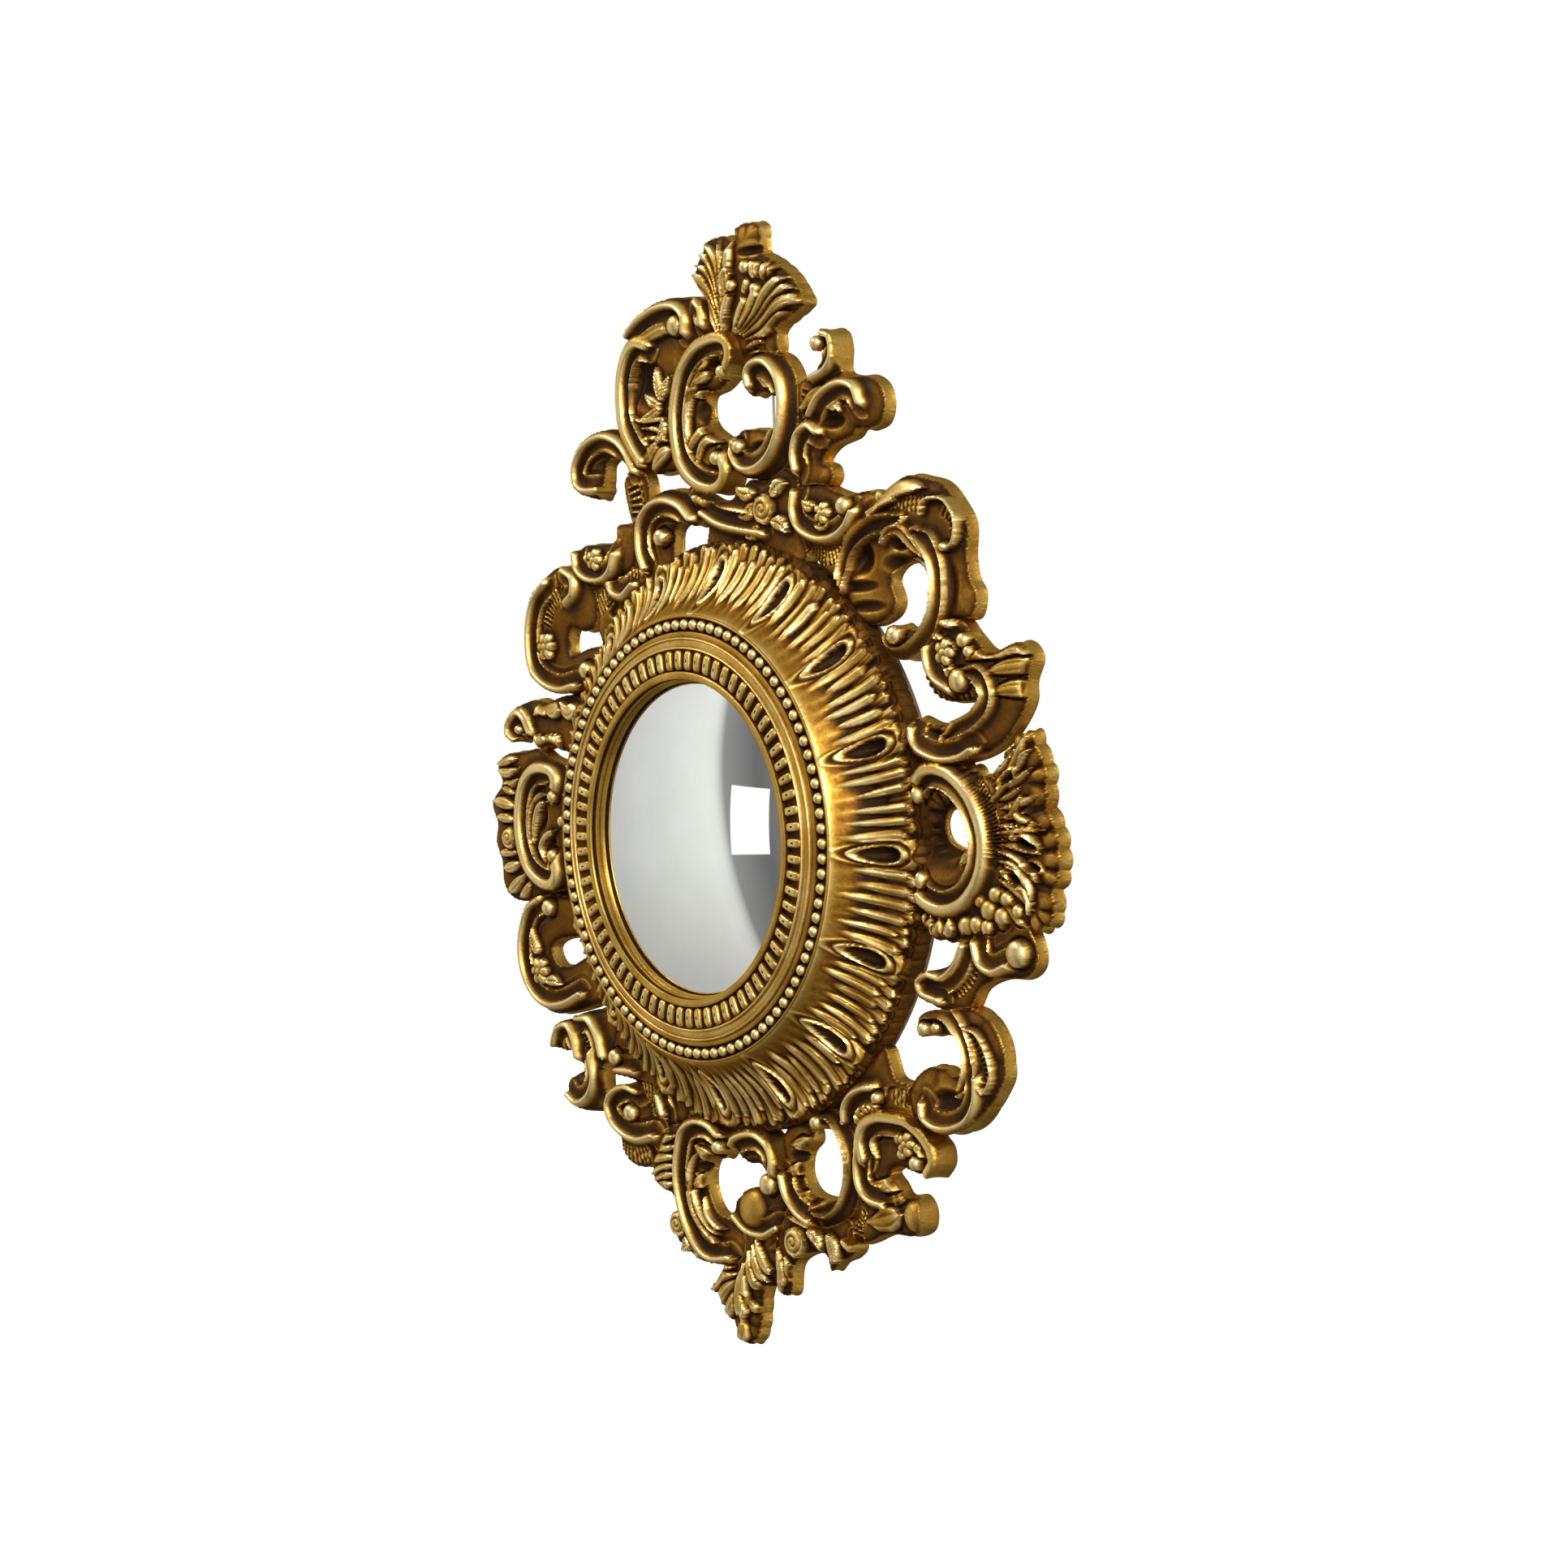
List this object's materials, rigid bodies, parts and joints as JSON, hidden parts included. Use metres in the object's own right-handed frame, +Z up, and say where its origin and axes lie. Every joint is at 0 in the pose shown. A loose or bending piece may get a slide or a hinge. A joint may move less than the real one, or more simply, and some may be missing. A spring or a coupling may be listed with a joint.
{
  "type": "convex butlers mirror",
  "caption": "Round convex butlers mirror in a pierced, gilded rococo frame with scroll crest and drop, beaded bezel, flame border and a wire hanging bail.",
  "frame": {"origin": "on the axis of the round glass, in the plane of the wall", "axes": "+X right and +Z up as hung, seen from the front; the mirror faces -Y and +Y points into the wall"},
  "size_m": [0.5243, 0.055, 0.634],
  "materials": {
    "gilt": "antique gold leaf over cast composition, rubbed back on high spots and darkened in hollows",
    "wood": "turned softwood, gilded in front, bare and stained at the back",
    "mirror": "convex silvered glass",
    "felt": "black felt strip",
    "board": "brown hardboard",
    "brass": "dull stamped brass",
    "steel": "bright zinc-plated steel"
  },
  "bodies": {
    "frame": {"turned_ground": "wood", "sight_bezel": "gilt", "convex_mirror_glass": "mirror", "glass_gasket": "felt", "spacer_hoop": "board", "backing_board": "board", "block_strip": "gilt", "pearl_strip": "gilt", "flame_border": "gilt", "button_screws": "steel", "bail_eyes": "brass", "bail_eye_screws": "steel", "crest_c_left": "gilt", "crest_c_right": "gilt", "right_ear_scroll": "gilt", "right_ear_lower": "gilt", "right_cartouche": "gilt", "right_lower_scroll": "gilt", "bottom_right_scroll": "gilt", "bottom_right_c": "gilt", "bottom_c_right": "gilt", "bottom_c_left": "gilt", "left_cartouche": "gilt", "left_lower_scroll": "gilt", "left_foot_scroll": "gilt", "left_ear_scroll": "gilt", "bottom_left_bowl": "gilt", "upper_left_bowl": "gilt", "upper_left_scroll": "gilt", "inner_left_c": "gilt", "right_shoulder_bowl": "gilt", "crest_left_scroll": "gilt", "crest_right_scroll": "gilt", "left_shoulder_curl": "gilt", "crest_plume": "gilt", "crest_rose_spray": "gilt", "lower_right_shell": "gilt", "right_small_scroll": "gilt", "upper_left_shell": "gilt", "bottom_left_link": "gilt", "bottom_left_spray": "gilt", "bottom_rose": "gilt", "bottom_drop": "gilt"},
    "bail": {"hanging_bail": "steel"},
    "button_1": {"turn_button_1": "brass"},
    "button_2": {"turn_button_2": "brass"},
    "button_3": {"turn_button_3": "brass"},
    "button_4": {"turn_button_4": "brass"}
  },
  "joints": [
    {"name": "turn_button_1_pivot", "type": "hinge", "parent": "frame", "child": "button_1", "pos_m": [0.07708, -0.0023, 0.07708], "axis": [0, 1, 0], "continuous": true},
    {"name": "turn_button_2_pivot", "type": "hinge", "parent": "frame", "child": "button_2", "pos_m": [-0.07708, -0.0023, 0.07708], "axis": [0, 1, 0], "continuous": true},
    {"name": "turn_button_3_pivot", "type": "hinge", "parent": "frame", "child": "button_3", "pos_m": [-0.07708, -0.0023, -0.07708], "axis": [0, 1, 0], "continuous": true},
    {"name": "turn_button_4_pivot", "type": "hinge", "parent": "frame", "child": "button_4", "pos_m": [0.07708, -0.0023, -0.07708], "axis": [0, 1, 0], "continuous": true},
    {"name": "bail_swing", "type": "hinge", "parent": "frame", "child": "bail", "pos_m": [0.006, -0.0015, 0.214], "axis": [-1, 0, 0], "range_deg": [0, 175]}
  ]
}
